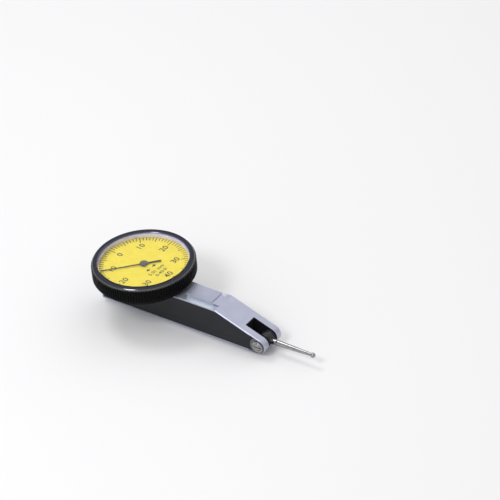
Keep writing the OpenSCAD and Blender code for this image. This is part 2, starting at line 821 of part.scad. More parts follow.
// Face teeth stand towards the centre pinion on a flat web with four holes
module crown_gear() {
    half = crown_pitch * tooth_share / 2;
    color("goldenrod") difference() {
        union() {
            rod(0, crown_z, crown_r + crown_face, crown_root_y, crown_root_y + crown_web_t);
            rod(0, crown_z, 2 * crown_arbor_r, crown_root_y, crown_root_y + crown_web_t + 0.8);
            for (i = [0:crown_teeth - 1])
                translate([0, 0, crown_z]) rotate([0, -i * 360 / crown_teeth, 0])
                    translate([0, 0, crown_r - crown_face]) linear_extrude(2 * crown_face)
                        polygon([[-1.4 * half, crown_root_y + 0.1], [-0.55 * half, crown_tip_y],
                            [0.55 * half, crown_tip_y], [1.4 * half, crown_root_y + 0.1]]);
        }
        rod(0, crown_z, crown_arbor_r + seat, 0, far_in);
        for (a = [45:90:315])
            rod(2.6 * cos(a), crown_z + 2.6 * sin(a), 0.9, 0, far_in);
    }
}

module centre_arbor() {
    color("silver") union() {
        post(0, 0, pivot_r, cock_z + 0.05, leaf_z0);
        translate([0, 0, leaf_z0]) linear_extrude(leaf_z1 - leaf_z0)
            polygon(teeth(centre_teeth, centre_r, centre_module, 0, centre_teeth - 1, 90 + 180 / centre_teeth));
        post(0, 0, arbor_r, cock_z + cock_t + 0.15, bridge_z - 0.1);
        post(0, 0, arbor_r - 0.1, bridge_z - 0.2, hand_z + hand_t);
    }
}

module hairspring_collet() {
    color("goldenrod") ring(arbor_r + seat, collet_r, spring_z - 0.1, spring_z + spring_h + 0.1);
}

module pointer() {
    color([0.12, 0.12, 0.13]) rotate([0, 0, pointer_angle]) difference() {
        union() {
            translate([0, 0, hand_z]) linear_extrude(hand_t) polygon([
                [-tail_len, -tail_half], [0, -waist_half], [pointer_len, -tip_half],
                [pointer_len, tip_half], [0, waist_half], [-tail_len, tail_half]
            ]);
            post(0, 0, 0.85, hand_z - 0.15, hand_z + hand_t);
        }
        post(0, 0, arbor_r - 0.1 + seat, hand_z - cut, hand_z + cut);
    }
}

module pointer_cap() {
    color([0.33, 0.34, 0.36]) post(0, 0, cap_r, hand_z + hand_t, hand_z + hand_t + cap_h);
}

frame();
near_side_cover();
far_side_cover();
cover_screws();
movement_plate();
plate_pillars();
plate_screws();
plate_jewels();
wall_jewels();
centre_cock();
centre_cock_screw();
centre_lower_jewel();
dial_case();
dial_case_screws();
centre_bridge();
centre_bridge_screws();
centre_upper_jewel();
hairspring();
hairspring_stud();
bezel_snap_ring();
pivot_screws();
pivot_locknuts();
bezel();
dial_face();
dial_retaining_ring();
crystal();
pivot_axle();
lever_arm();
lever_pin();
lever_pin_jewel();
friction_washer();
contact_holder();
contact_stem();
contact_ball();
sector_arbor();
sector_gear();
crown_arbor();
crown_gear();
centre_arbor();
hairspring_collet();
pointer();
pointer_cap();
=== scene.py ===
# %% [markdown]
# # A dial test indicator
#
# This small measuring instrument has a contact point that swings in a fork. A lever and two pairs
# of gears inside the steel body turn that small swing into a wide sweep of a pointer over a dial.
# The mechanism was drawn first as solids with joints. Here those solids get their finishes, and
# the ones that the eye rests on are rebuilt with softer edges and finer detail.
#
# The model loads as a fixed frame. Its parts are named, and every new piece rides on one of its
# moving bodies. Most places and sizes are read from it, so a new piece lands where its solid is.

# %% Load the solids
import math

import bmesh
import bpy
from mathutils import Matrix, Vector


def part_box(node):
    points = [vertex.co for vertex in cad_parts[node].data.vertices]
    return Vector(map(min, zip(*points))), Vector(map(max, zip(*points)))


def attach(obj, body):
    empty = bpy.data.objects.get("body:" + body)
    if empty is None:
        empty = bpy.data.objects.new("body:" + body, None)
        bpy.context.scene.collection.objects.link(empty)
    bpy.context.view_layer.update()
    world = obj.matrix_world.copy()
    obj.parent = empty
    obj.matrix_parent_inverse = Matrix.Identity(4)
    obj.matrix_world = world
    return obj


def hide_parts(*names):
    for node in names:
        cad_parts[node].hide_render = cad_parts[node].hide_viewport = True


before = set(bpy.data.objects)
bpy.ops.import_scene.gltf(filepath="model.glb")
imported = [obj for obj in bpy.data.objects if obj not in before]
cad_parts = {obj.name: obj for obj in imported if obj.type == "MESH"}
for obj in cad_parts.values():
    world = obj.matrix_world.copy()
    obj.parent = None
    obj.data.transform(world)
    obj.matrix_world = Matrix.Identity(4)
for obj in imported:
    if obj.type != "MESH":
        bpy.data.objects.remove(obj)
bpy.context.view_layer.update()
scene = bpy.context.scene
MM = 0.001

# %% [markdown]
# Where a solid has a size, it is read and not typed. `measured` gives a solid's lowest and
# highest corners in millimetres, which is the unit that all the shapes below are drawn in.


# %% Measure the solids
def measured(node):
    low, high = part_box(node)
    return low / MM, high / MM


bezel_low, bezel_high = measured("bezel")
dial_low, dial_high = measured("dial_face")
glass_low, glass_high = measured("crystal")
axle_low, axle_high = measured("pivot_axle")
ball_low, ball_high = measured("contact_ball")

bezel_radius = bezel_high.x
bezel_top = bezel_high.z
dial_radius = dial_high.x
dial_top = dial_high.z
pivot = (axle_low + axle_high) / 2
ball = (ball_low + ball_high) / 2
print(f"bezel radius {bezel_radius:.2f}, pivot at {pivot.x:.2f}, {pivot.z:.2f} mm")

# %% [markdown]
# ## Finishes
#
# A finish is a tree of nodes, and much of it is arithmetic. Adding a Math node for every sum by
# hand is slow to write and hard to read, so one small class stands for whatever comes out of a
# node. It overloads the ordinary operators, and writing `1 - mask` adds the node that does it.


# %% A socket that does sums
class Flow:
    """The output of one node, which can be added, multiplied and compared."""

    def __init__(self, tree, socket):
        self.tree, self.socket = tree, socket

    def math(self, operation, *terms):
        return self.tree.add("ShaderNodeMath", {"operation": operation}, dict(enumerate(terms)))

    def __add__(self, other):
        return self.math("ADD", self, other)

    def __sub__(self, other):
        return self.math("SUBTRACT", self, other)

    def __rsub__(self, other):
        return self.math("SUBTRACT", other, self)

    def __mul__(self, other):
        return self.math("MULTIPLY", self, other)

    def __mod__(self, other):
        return self.math("MODULO", self, other)

    def __lt__(self, other):
        return self.math("LESS_THAN", self, other)

    def __gt__(self, other):
        return self.math("GREATER_THAN", self, other)

    def __abs__(self):
        return self.math("ABSOLUTE", self)

    def larger(self, other):
        return self.math("MAXIMUM", self, other)

    # With these, a number may also stand first.
    __radd__ = __add__
    __rmul__ = __mul__


# %% [markdown]
# Every other node is added by one method. It takes the node's type, then its settings, because
# some settings change which sockets a node has, and last the values or links of those sockets.


# %% A tree that adds nodes
class Tree:
    """A tree of nodes, in a material or in a group."""

    def __init__(self, tree):
        self.tree = tree

    def add(self, kind, settings=None, values=None, out=0):
        """Adds a node, sets it up, feeds its sockets and returns one of its outputs."""
        node = self.tree.nodes.new(kind)
        for name, setting in (settings or {}).items():
            setattr(node, name, setting)
        for name, value in (values or {}).items():
            self.feed(self.socket(node.inputs, name), value)
        return Flow(self, self.socket(node.outputs, out)) if node.outputs else None

    def socket(self, sockets, name):
        """Finds a socket by its number, its identifier or its name, in that order."""
        if isinstance(name, int):
            return sockets[name]
        by_identifier = [s for s in sockets if s.identifier == name]
        return by_identifier[0] if by_identifier else sockets[name]

    def feed(self, socket, value):
        """Links an output to a socket, or sets a plain value on it."""
        if isinstance(value, Flow):
            self.tree.links.new(value.socket, socket)
        elif socket.type == "RGBA":
            socket.default_value = (*value[:3], 1)
        else:
            socket.default_value = value


# %% [markdown]
# A finish is such a tree with a few words of its own. All of its patterns are laid out in the
# piece's own space, in millimetres, so a grain of 0.1 mm is written as 0.1 mm. They stay on the
# piece when it moves. Noise mostly keeps to its middle values, so `spread` stretches those.


# %% A finish
class Finish(Tree):
    """A material for one of the gauge's surfaces."""

    def __init__(self, name):
        self.material = bpy.data.materials.new(name)
        self.material.use_nodes = True
        super().__init__(self.material.node_tree)
        self.tree.nodes.clear()
        place = self.add("ShaderNodeTexCoord", out="Object")
        self.place = self.stretched(place, 1 / MM)
        self.x, self.y, self.z = (
            self.add("ShaderNodeSeparateXYZ", None, {0: self.place}, axis) for axis in "XYZ"
        )

    def stretched(self, vector, factors):
        """Multiplies a vector by one number, or by one for each axis."""
        if not isinstance(factors, tuple):
            factors = (factors, factors, factors)
        return self.add("ShaderNodeVectorMath", {"operation": "MULTIPLY"}, {0: vector, 1: factors})

    def grain(self, size, detail=2.0, stretch=(1, 1, 1)):
        """Soft random spots of about this size in millimetres, from 0 to 1."""
        where = self.stretched(self.place, tuple(s / size for s in stretch))
        values = {"Vector": where, "Scale": 1.0, "Detail": detail}
        return self.add("ShaderNodeTexNoise", None, values)

    def between(self, flow, low, high, new_low=0.0, new_high=1.0):
        """Takes the range low to high to a new range, gently at both ends."""
        ends = {"From Min": low, "From Max": high, "To Min": new_low, "To Max": new_high}
        smooth = {"interpolation_type": "SMOOTHSTEP"}
        return self.add("ShaderNodeMapRange", smooth, {"Value": flow, **ends})

    def spread(self, noise, low, high):
        """Takes the middle of a noise, where most of its values lie, to the range low to high."""
        return self.between(noise, 0.3, 0.7, low, high)

    def blend(self, share, colour, other):
        """Mixes two colours: share 0 gives the first, share 1 the other."""
        return self.add(
            "ShaderNodeMix",
            {"data_type": "RGBA"},
            {"Factor_Float": share, "A_Color": colour, "B_Color": other},
            "Result_Color",
        )

    def mottled(self, noise, dark, pale):
        """Lets a noise wander between two colours."""
        return self.blend(self.spread(noise, 0.0, 1.0), dark, pale)

    def bump(self, height, depth, strength=1.0):
        """Raises the surface by height times depth, in millimetres."""
        values = {"Height": height, "Distance": depth * MM, "Strength": strength}
        return self.add("ShaderNodeBump", None, values)

    def surface(self, values, shade=None):
        """Ends the tree in a Principled shader, which `shade` may wrap in more nodes."""
        shader = self.add("ShaderNodeBsdfPrincipled", None, values)
        if shade:
            shader = shade(shader)
        self.add("ShaderNodeOutputMaterial", None, {"Surface": shader})
        print("finish:", self.material.name)
        return self.material


# %% [markdown]
# ### Satin chrome
#
# The body is ground steel with a satin chrome plate: pale, slightly cool, and soft in its
# reflections. A fine grain in both roughness and height gives the soft sparkle of a blasted
# surface, and faint larger clouds keep a flat face from looking painted. Masks made of a few
# comparisons pick out three places where light and shade are painted into the colour. The walls
# of the fork's slot are painted near black, as painted shade in that deep recess. The ledges and
# flanks beside the top rail are painted paler, as painted light where the rail and the bezel shade
# them. The cheeks round the pivot are painted dark, as a painted reflection of dark surroundings.
# Where the slot and the rail end is typed, because a solid's corners don't tell.

# %% Satin chrome
frame_high = measured("frame")[1]
body_half = frame_high.y
fork_half, slot_start = 2.72, 47.9
rail_height, rail_end, fading = 1.6, 33.5, 2.0
ledge_height = frame_high.z - rail_height
flank_top = frame_high.z - 0.15
ledge_skin, cheek_skin = 0.02, 0.03
cheek_radius = 5.3
print(f"ledge beside the rail at {ledge_height:.2f} mm")


def satin_chrome():
    finish = Finish("satin_chrome")
    x, y, z = finish.x, finish.y, finish.z
    fine, cloud = finish.grain(0.09, 3), finish.grain(6, 2)

    # Painted shade: the walls of the fork's slot are painted near black, less metallic and
    # rougher, for the shade deep in the slot.
    painted_slot_shade = (abs(y) < fork_half) * (x > slot_start)
    # Painted light: the ledges and flanks beside the rail are painted paler where the rail and the
    # bezel shade them, fading out ahead of the rail's end.
    along_rail = finish.between(x, rail_end + fading, rail_end)
    ledge_painted_light = (abs(z - ledge_height) < ledge_skin) * along_rail
    flank_painted_light = (x < rail_end) * (z > ledge_height) * (z < flank_top)
    painted_rail_light = ledge_painted_light.larger(flank_painted_light)
    # Painted reflection: the cheeks round the pivot are painted dark, as if they mirrored dark
    # surroundings.
    ahead, above = x - pivot.x, z - pivot.z
    near_pivot = (ahead * ahead + above * above) < cheek_radius**2
    cheek_painted_reflection = (abs(y) > body_half - cheek_skin) * near_pivot

    steel = finish.mottled(cloud, (0.44, 0.455, 0.575), (0.485, 0.50, 0.62))
    # Paler steel colour painted beside the rail, as painted light.
    steel = finish.blend(painted_rail_light, steel, (0.69, 0.73, 0.80))
    # Dark colour painted on the cheeks, as a painted reflection.
    steel = finish.blend(cheek_painted_reflection, steel, (0.16, 0.16, 0.18))
    return finish.surface(
        {
            # The slot's painted shade goes into the base colour here.
            "Base Color": finish.blend(painted_slot_shade, steel, (0.012, 0.012, 0.014)),
            "Metallic": 0.8 - painted_slot_shade * 0.5,
            "Roughness": finish.between(fine, 0.25, 0.75, 0.33, 0.45) + painted_slot_shade * 0.1,
            "Normal": finish.bump(fine, 0.004, 0.5),
        }
    )


satin = satin_chrome()

# %% [markdown]
# ### Polished steel
#
# The pivot screws, the contact point and its ball are turned and polished. Turning leaves rings
# round a part's axis so fine that they only spread the highlight a little. The grain here is
# squeezed along X, which is close to the contact point's own axis.


# %% Polished steel
def polished_steel():
    finish = Finish("polished_steel")
    rings = finish.grain(0.12, 2, (1, 0.1, 0.1))
    smear = finish.grain(1.5, 2)
    return finish.surface(
        {
            "Base Color": finish.mottled(smear, (0.30, 0.295, 0.30), (0.40, 0.39, 0.395)),
            "Metallic": 1.0,
            "Roughness": finish.spread(rings, 0.07, 0.14),
            "Normal": finish.bump(rings, 0.002, 0.4),
        }
    )


polished = polished_steel()

# %% [markdown]
# ### Black plate on the bezel
#
# The knurled bezel is plated black. Its flat top ring was turned and stays satin, so it looks
# greyer than the ribs, and a gloss coat on the ends of the ribs gives them their glint. The faces
# could be given three materials, but they are one plating. So it is one material, which tells the
# places apart by their height, and no border between them is hard. The turning marks are rings of
# constant radius, made by feeding a noise with the distance from the axis.


# %% Black plate
def black_plate():
    finish = Finish("black_plate")
    speck = finish.grain(0.4, 3)
    rings_per_mm = 9
    flat = finish.stretched(finish.place, (1, 1, 0))
    from_axis = finish.add("ShaderNodeVectorMath", {"operation": "LENGTH"}, {0: flat}, "Value")
    turning = finish.add(
        "ShaderNodeTexNoise",
        {"noise_dimensions": "1D"},
        {"W": from_axis * rings_per_mm, "Scale": 1.0, "Detail": 3.0},
    )
    below_top = bezel_top - finish.z
    on_top = finish.between(below_top, 0.12, 0.02)
    rib_ends = finish.between(below_top, 0.95, 0.7) * (1 - on_top)
    return finish.surface(
        {
            "Base Color": finish.blend(on_top, (0.0015, 0.0015, 0.002), (0.026, 0.028, 0.045)),
            "Roughness": finish.spread(speck, 0.22, 0.3) + on_top * 0.15,
            "Specular IOR Level": 0.08,
            "Coat Weight": rib_ends,
            "Coat IOR": 2.0,
            "Coat Roughness": 0.12,
            "Normal": finish.bump(turning * on_top, 0.01, 0.35),
        }
    )


black = black_plate()

# %% [markdown]
# ### Charcoal enamel
#
# The two side covers are coated in a smooth charcoal enamel. It is nearly matt, with the very
# faint unevenness that a sprayed coat has.


# %% Charcoal enamel
def charcoal_enamel():
    finish = Finish("charcoal_enamel")
    orange_peel = finish.grain(0.5, 2)
    dust = finish.grain(0.08, 2)
    dusty = finish.between(dust, 0.35, 0.7)
    return finish.surface(
        {
            "Base Color": finish.blend(dusty, (0.0055, 0.0062, 0.0095), (0.0095, 0.0105, 0.015)),
            "Roughness": finish.spread(orange_peel, 0.42, 0.52),
            "Specular IOR Level": 0.36,
            "Normal": finish.bump(orange_peel, 0.012, 0.35),
        }
    )


charcoal = charcoal_enamel()

# %% [markdown]
# ### Dial lacquer, printing ink and the hand's paint
#
# The dial is a thin aluminium plate under a warm yellow lacquer. The lacquer is even, so its only
# texture is a very slight mottle. The ink and the pointer's paint are near black and satin, and
# the oxidised hub of the contact point is a glossier black.


# %% Dial lacquer
def dial_lacquer():
    finish = Finish("dial_lacquer")
    mottle = finish.grain(2.5, 3)
    fine = finish.grain(0.2, 2)
    return finish.surface(
        {
            "Base Color": finish.mottled(mottle, (0.67, 0.545, 0.03), (0.71, 0.575, 0.04)),
            "Roughness": finish.spread(fine, 0.38, 0.5),
            "Specular IOR Level": 0.2,
            "Normal": finish.bump(fine, 0.003, 0.3),
        }
    )


def satin_paint(name, dark, pale, roughness=0.35, shine=0.2):
    finish = Finish(name)
    fine = finish.grain(0.15, 2)
    return finish.surface(
        {
            "Base Color": finish.mottled(fine, dark, pale),
            "Roughness": finish.spread(fine, roughness, roughness + 0.1),
            "Specular IOR Level": shine,
            "Normal": finish.bump(fine, 0.003, 0.3),
        }
    )


yellow = dial_lacquer()
ink = satin_paint("printing_ink", (0.006, 0.006, 0.007), (0.012, 0.012, 0.014), roughness=0.5)
hand_paint = satin_paint("hand_paint", (0.008, 0.007, 0.009), (0.014, 0.013, 0.016))
hub_black = satin_paint(
    "hub_black", (0.008, 0.009, 0.012), (0.014, 0.015, 0.02), roughness=0.22, shine=0.45
)
cap_paint = satin_paint("cap_paint", (0.045, 0.047, 0.06), (0.06, 0.063, 0.078))

# %% [markdown]
# ### The crystal
#
# The crystal is clear. Light that only passes through on its way to the dial would be counted as
# lost by a glass shader, and the dial would go dark, so shadow rays meet a plain see-through
# shader instead.


# %% Crystal
def clear_crystal():
    finish = Finish("clear_crystal")

    def let_light_through(glass):
        shadow = finish.add("ShaderNodeLightPath", out="Is Shadow Ray")
        through = finish.add("ShaderNodeBsdfTransparent")
        return finish.add("ShaderNodeMixShader", None, {0: shadow, 1: glass, 2: through})

    return finish.surface(
        {
            "Base Color": (0.98, 0.99, 1.0),
            "Roughness": 0.02,
            "IOR": 1.5,
            "Specular Tint": (0.1, 0.1, 0.1),
            "Transmission Weight": 1.0,
            "Coat Weight": 0.3,
            "Coat Roughness": 0.12,
        },
        let_light_through,
    )


crystal = clear_crystal()

# %% [markdown]
# ### The movement's metals
#
# Brass plates and wheels, blued steel screws and ruby bearings sit inside. The metals share one
# recipe: a colour that wanders a little, and a brushed grain drawn out along the body. The
# aluminium ring round the dial takes it too, with the grain drawn out along its height.


# %% Metals of the movement
def brushed_metal(name, dull, bright, roughness, stretch=(0.08, 1, 1), metallic=1.0):
    finish = Finish(name)
    brushing = finish.grain(0.1, 3, stretch)
    patina = finish.grain(2, 3)
    return finish.surface(
        {
            "Base Color": finish.mottled(patina, dull, bright),
            "Metallic": metallic,
            "Roughness": finish.spread(brushing, roughness, roughness + 0.12),
            "Normal": finish.bump(brushing, 0.003, 0.4),
        }
    )


def ruby_glass():
    finish = Finish("ruby")
    depth = finish.grain(0.6, 2)
    return finish.surface(
        {
            "Base Color": finish.mottled(depth, (0.42, 0.008, 0.03), (0.6, 0.02, 0.06)),
            "Roughness": finish.spread(depth, 0.06, 0.1),
            "Coat Weight": 0.6,
            "Coat Roughness": 0.03,
        }
    )


brass = brushed_metal("brass", (0.72, 0.5, 0.2), (0.84, 0.62, 0.28), 0.24)
blued = brushed_metal("blued_steel", (0.03, 0.05, 0.2), (0.05, 0.1, 0.34), 0.18, (1, 1, 1))
aluminium = brushed_metal(
    "turned_aluminium", (0.64, 0.61, 0.90), (0.70, 0.67, 0.96), 0.4, (1, 1, 0.1), metallic=0.3
)
ruby = ruby_glass()

# %% [markdown]
# Each solid already names the finish it was planned with. All of them take their finish from that
# name first, and the pieces built below then stand in for the ones that show most.

# %% Dress every solid
finishes = {
    "satin_chrome": satin,
    "polished_steel": polished,
    "black_chrome": black,
    "charcoal": charcoal,
    "dial_yellow": yellow,
    "crystal": crystal,
    "brass": brass,
    "blued_steel": blued,
    "ruby": ruby,
    "hand_grey": cap_paint,
}
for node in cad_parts.values():
    for slot in node.material_slots:
        slot.material = finishes[slot.material.name.split(".")[0]]
print("finishes set on", len(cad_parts), "solids")

# %% [markdown]
# ## Shapes
#
# A finished piece is a mesh with its place in its vertices, on an object left at the origin.
# `fasten` makes the object, gives it its finish and fastens it to a body. It also names the solids
# that the piece stands for. `plain_mesh` keeps what an object's modifiers make of it.


# %% Finish a piece
def linked(name, data):
    """A new object in the scene, left at the origin."""
    thing = bpy.data.objects.new(name, data)
    scene.collection.objects.link(thing)
    return thing


def plain_mesh(thing, *helpers):
    """The evaluated object as a mesh of its own. The object and its helpers are removed."""
    evaluated = thing.evaluated_get(bpy.context.evaluated_depsgraph_get())
    mesh = bpy.data.meshes.new_from_object(evaluated)
    for used in (thing, *helpers):
        bpy.data.objects.remove(used)
    return mesh


def fasten(name, mesh, body, slot, material, *stands_for):
    """Makes a mesh a piece of the gauge, in place of the solids that it stands for."""
    mesh.materials.clear()
    mesh.materials.append(material)
    piece = linked(name, mesh)
    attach(piece, body)
    if stands_for:
        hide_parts(*stands_for)
    print(f"{name}: {len(mesh.polygons)} faces")


def mesh_of(shape, smooth=35):
    """Turns a shape drawn in millimetres into a mesh in metres, smooth but for its sharp edges."""
    bmesh.ops.scale(shape, vec=(MM, MM, MM), verts=shape.verts)
    mesh = bpy.data.meshes.new("shape")
    shape.to_mesh(mesh)
    shape.free()
    mesh.shade_smooth()
    mesh.set_sharp_from_angle(angle=math.radians(smooth))
    return mesh


# %% [markdown]
# Many pieces of an instrument are turned on a lathe, and a lathe is also the best way to draw
# them: an outline of radius and height, swept round an axis. A Screw modifier could do it too,
# but then it would still need a bevel, whose width is the same at every edge. Real turned edges
# are never sharp and never all alike, so each corner of the outline carries the radius of a
# small arc that replaces it. Points nearer than SAME_PLACE, in millimetres, count as one.


# %% A lathe
SAME_PLACE = 1e-6


def softened(corners, steps=4):
    """Replaces each corner (x, y, radius) of a closed outline by an arc of that radius."""
    outline = []
    for i, (x, y, radius) in enumerate(corners):
        here = Vector((x, y))
        if radius == 0:
            outline.append(here)
            continue
        back = (Vector(corners[i - 1][:2]) - here).normalized()
        on = (Vector(corners[(i + 1) % len(corners)][:2]) - here).normalized()
        half = back.angle(on) / 2
        centre = here + (back + on).normalized() * (radius / math.sin(half))
        start, end = (here + way * (radius / math.tan(half)) - centre for way in (back, on))
        outline += [centre + start.slerp(end, k / steps) * radius for k in range(steps + 1)]
    return outline


def turned(corners, steps=96, place=None):
    """Sweeps a closed outline round Z and moves the result to its place, all in millimetres."""
    shape, outline = bmesh.new(), softened(corners)
    loops = []
    for radius, height in outline:
        if radius < SAME_PLACE:
            loops.append([shape.verts.new((0, 0, height))] * steps)
        else:
            angles = (2 * math.pi * k / steps for k in range(steps))
            spots = [(radius * math.cos(a), radius * math.sin(a), height) for a in angles]
            loops.append([shape.verts.new(spot) for spot in spots])
    for loop, following in zip(loops, loops[1:] + loops[:1]):
        for k in range(steps):
            corners_here = [loop[k], loop[k - 1], following[k - 1], following[k]]
            unique = list(dict.fromkeys(corners_here))
            if len(unique) > 2:
                shape.faces.new(unique)
    bmesh.ops.recalc_face_normals(shape, faces=shape.faces)
    if place:
        bmesh.ops.transform(shape, matrix=place, verts=shape.verts)
    return shape


# %% [markdown]
# ### A ring of copies
#
# The knurl's ribs and the dial's division lines have one rule: the same shape, again and again,
# evenly round an axis. An Array modifier could copy it, turned by a helper object, but the angle
# would have to be worked out anew for each count. Geometry Nodes state the rule once. As many
# points are made as wanted, each carries one instance of the template, and each instance is
# turned by its own share of the circle. Every so many can be left out, so that a longer line can
# take that place. Realize Instances turns the copies into real mesh, and the result is kept as
# plain geometry.


# %% The ring tree
def ring_tree():
    group = bpy.data.node_groups.new("ring_of_copies", "GeometryNodeTree")
    group.interface.new_socket("Geometry", in_out="OUTPUT", socket_type="NodeSocketGeometry")
    for name, kind in {
        "Template": "NodeSocketObject",
        "Count": "NodeSocketInt",
        "First angle": "NodeSocketFloat",
        "Leave out each": "NodeSocketInt",
        "Material": "NodeSocketMaterial",
    }.items():
        group.interface.new_socket(name, in_out="INPUT", socket_type=kind)
    tree = Tree(group)

    def given(name):
        return tree.add("NodeGroupInput", out=name)

    index = tree.add("GeometryNodeInputIndex")
    points = tree.add("GeometryNodePoints", None, {"Count": given("Count")})
    step = tree.add("ShaderNodeMath", {"operation": "DIVIDE"}, {0: 2 * math.pi, 1: given("Count")})
    turn = tree.add("ShaderNodeCombineXYZ", None, {"Z": given("First angle") + index * step})
    wanted = (index % given("Leave out each")).larger(given("Leave out each") < 1) > 0
    template = tree.add("GeometryNodeObjectInfo", None, {"Object": given("Template")}, "Geometry")
    copies = tree.add(
        "GeometryNodeInstanceOnPoints",
        None,
        {"Points": points, "Selection": wanted, "Instance": template, "Rotation": turn},
    )
    real = tree.add("GeometryNodeRealizeInstances", None, {0: copies})
    dressing = {"Geometry": real, "Material": given("Material")}
    dressed = tree.add("GeometryNodeSetMaterial", None, dressing)
    tree.add("NodeGroupOutput", None, {0: dressed})
    print("ring tree:", len(group.nodes), "nodes")
    return group


ring_of_copies = ring_tree()

# %% [markdown]
# A modifier runs the tree on an empty object. Each input is set by its identifier, because its
# name is only a label, and before anything is evaluated. The result is kept as a plain mesh.


# %% Bake a ring
def ring_of(shape, count, material, first_angle=0.0, leave_out_each=0):
    """Copies a shape round Z and returns the copies as one plain mesh, in metres."""
    template = bpy.data.objects.new("template", mesh_of(shape))
    holder = linked("ring", bpy.data.meshes.new("ring"))
    modifier = holder.modifiers.new("ring", "NODES")
    modifier.node_group = ring_of_copies
    inputs = {
        "Template": template,
        "Count": count,
        "First angle": first_angle,
        "Leave out each": leave_out_each,
        "Material": material,
    }
    for item in ring_of_copies.interface.items_tree:
        if item.in_out == "INPUT":
            modifier[item.identifier] = inputs[item.name]
    return plain_mesh(holder, template)


# %% [markdown]
# ### The bezel
#
# The bezel is one turned ring. Its outline runs up the smooth band under the knurl, over the flat
# top ring to the lip round the crystal, then down inside past the seat of the dial and the groove
# of the spring wire that holds it on. Small arcs at the rim catch the light as a thin line.

# %% Turn the bezel
band = bezel_radius - 0.45
skirt = band - 1.0
lip = dial_radius + 0.02
seat_top, seat_low = dial_low.z, dial_low.z - 0.7
wire_low, wire_high = measured("bezel_snap_ring")
groove = wire_high.x + 0.05

bezel_shape = turned(
    [
        (skirt + 0.2, bezel_low.z, 0.05),
        (band - 0.1, bezel_low.z, 0.1),
        (band, bezel_low.z + 0.2, 0.1),
        (band, bezel_top - 0.3, 0.12),
        (band - 0.3, bezel_top, 0.12),
        (lip + 0.35, bezel_top, 0.1),
        (lip, bezel_top - 0.3, 0.08),
        (lip, seat_top, 0),
        (lip - 1, seat_top, 0),
        (lip - 1, seat_low, 0.05),
        (skirt, seat_low, 0),
        (skirt, wire_high.z + 0.05, 0),
        (groove, wire_high.z + 0.05, 0),
        (groove, wire_low.z - 0.05, 0),
        (skirt, wire_low.z - 0.05, 0),
        (skirt, bezel_low.z + 0.2, 0.05),
    ],
    steps=240,
)
print("bezel outline turned")

# %% [markdown]
# A rib of the knurl is a low bar with a rounded crown, leaning back into the band at both ends.
# Its cross-section is drawn once and repeated at a few heights. The copies sink a little into the
# band, so no gap shows at their roots. Where the ends lean back past the roots, the points stay
# at the roots, and the ones that then coincide are merged.


# %% Draw one rib and ring it round
def rib():
    """One rib, in its place on the X side of the bezel."""
    root, half_width, floor_slope = -0.62, 0.4, 0.05
    half_section = [(0.08, 0.0), (0.22, -0.07), (0.33, -0.32), (half_width, root)]
    section = [(-across, out) for across, out in reversed(half_section)] + half_section
    low, high = bezel_low.z + 0.42, bezel_top - 0.55
    levels = [
        (low, -0.5),
        (low + 0.3, 0.0),
        (high - 0.38, 0.0),
        (high - 0.34, -0.01),
        (high, -0.36),
        (high, -0.5),
    ]
    shape = bmesh.new()
    rows = []
    for z, lean in levels:
        row = []
        for across, out in section:
            sunk = root + floor_slope * (half_width - abs(across))
            row.append(shape.verts.new((bezel_radius + max(out + lean, sunk), across, z)))
        rows.append(row)
    for row, following in zip(rows, rows[1:]):
        for k in range(len(row) - 1):
            shape.faces.new([row[k], row[k + 1], following[k + 1], following[k]])
        shape.faces.new([row[-1], row[0], following[0], following[-1]])
    shape.faces.new(rows[0])
    shape.faces.new(rows[-1])
    bmesh.ops.remove_doubles(shape, verts=shape.verts, dist=SAME_PLACE)
    bmesh.ops.recalc_face_normals(shape, faces=shape.faces)
    return shape


rib_count = 120
bezel_mesh = mesh_of(bezel_shape)
knurled = bmesh.new()
for part in (bezel_mesh, ring_of(rib(), rib_count, black)):
    knurled.from_mesh(part)
knurled.to_mesh(bezel_mesh)
knurled.free()
bezel_mesh.shade_smooth()
bezel_mesh.set_sharp_from_angle(angle=math.radians(40))
fasten("knurled_bezel", bezel_mesh, "dial_head", "black_chrome", black, "bezel")

# %% [markdown]
# ### The dial
#
# The dial plate is a thin disc with a hole for the hand's arbor. What is printed on it stands a
# hundredth of a millimetre proud, as a thick ink does: eighty division lines in three lengths,
# the numbers that count up to 40 and back, a pair of arrows, the value of one division and the
# way the numbers run. Its upright direction is turned away from the body, because the bezel
# carries the dial round.

# %% Turn the dial plate
dial_hole = 1.3
fasten(
    "dial_plate",
    mesh_of(
        turned(
            [
                (dial_hole, dial_low.z, 0),
                (dial_radius, dial_low.z, 0),
                (dial_radius, dial_top, 0.03),
                (dial_hole, dial_top, 0.03),
            ],
            steps=180,
        )
    ),
    "dial_head",
    "dial_yellow",
    yellow,
    "dial_face",
)

# %% [markdown]
# A division line is the smallest possible shape, a flat bar, so it is drawn once for each length
# and repeated by the ring tree. The shortest lines leave out every fifth place, the middle ones
# every second of theirs, and the longest fill what is left.

# %% Print the division lines
ink_top, ink_root = dial_top + 0.012, dial_top - 0.01
ink_depth, ink_middle = ink_top - ink_root, (ink_top + ink_root) / 2
zero_direction = math.radians(177)


def bar(inner, outer, width):
    """A flat bar along X, from one radius to another."""
    shape = bmesh.new()
    bmesh.ops.create_cube(shape, size=1)
    bmesh.ops.scale(shape, vec=(outer - inner, width, ink_depth), verts=shape.verts)
    middle = Vector(((inner + outer) / 2, 0, ink_middle))
    bmesh.ops.translate(shape, vec=middle, verts=shape.verts)
    return shape


line_outer = dial_radius - 0.25
print_parts = []
for inner, width, count, leave_out_each in (
    (15.35, 0.3, 80, 5),
    (14.6, 0.32, 16, 2),
    (14.1, 0.34, 8, 0),
):
    line = bar(inner, line_outer, width)
    print_parts.append(ring_of(line, count, ink, zero_direction, leave_out_each))
print("division lines:", sum(len(p.polygons) for p in print_parts), "faces")

